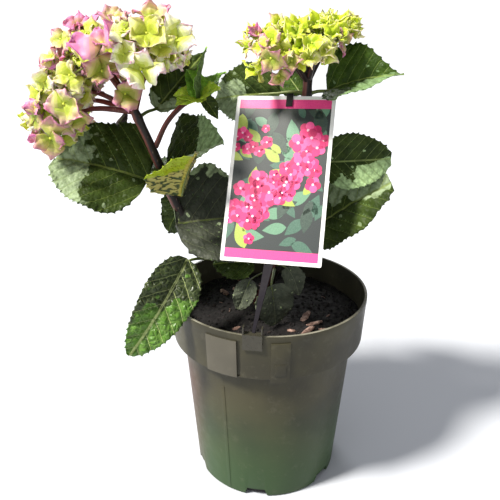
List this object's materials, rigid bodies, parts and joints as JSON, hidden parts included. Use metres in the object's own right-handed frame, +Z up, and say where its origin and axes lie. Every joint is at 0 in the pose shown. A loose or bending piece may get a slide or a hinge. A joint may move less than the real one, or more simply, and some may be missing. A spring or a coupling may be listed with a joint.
{
  "type": "potted hydrangea shrub",
  "caption": "Young mophead hydrangea in a round nursery pot, with broad leaves, blush and lime flower heads and a picture tag on a stake clipped to the rim.",
  "frame": {"origin": "centre of the pot's flat underside", "axes": "+Z up along the pot's axis, -Y towards the front where the tag's clip and picture face"},
  "size_m": [0.3394, 0.2179, 0.47],
  "materials": {
    "pot": "dark olive grey nursery plastic, satin",
    "potting_mix": "near black damp potting mix with pinkish brown bark chips",
    "stem": "smooth reddish brown to near black bark",
    "leaf": "dark green leaf, quilted, slightly glossy",
    "young_leaf": "bright young green leaf",
    "blush_sepals": "cream to lime sepals with dusty pink edges",
    "lime_sepals": "lime green sepals",
    "rim_clip": "smoky grey clip",
    "tag_stake": "dark purple black stake",
    "tag_card": null
  },
  "bodies": {
    "root": {"pot": "pot", "potting_mix": "potting_mix", "main_stem": "stem", "left_stem": "stem", "right_stem": "stem", "side_stem": "stem", "left_leaf_1": "leaf", "left_leaf_2": "leaf", "left_leaf_3": "leaf", "left_leaf_4": "leaf", "left_leaf_5": "leaf", "left_leaf_6": "leaf", "left_leaf_7": "leaf", "left_leaf_8": "leaf", "left_leaf_9": "leaf", "left_leaf_10": "leaf", "left_leaf_11": "leaf", "left_leaf_12": "leaf", "right_leaf_1": "leaf", "right_leaf_2": "leaf", "right_leaf_3": "leaf", "right_leaf_4": "leaf", "right_leaf_5": "leaf", "right_leaf_6": "leaf", "right_leaf_7": "leaf", "right_leaf_8": "leaf", "low_leaf_1": "leaf", "low_leaf_2": "leaf", "low_leaf_3": "leaf", "side_shoot_leaves": "young_leaf", "left_flower_head": "blush_sepals", "right_flower_head": "lime_sepals", "rim_clip": "rim_clip", "tag_stake": "tag_stake", "tag_card": "tag_card"}
  },
  "joints": []
}
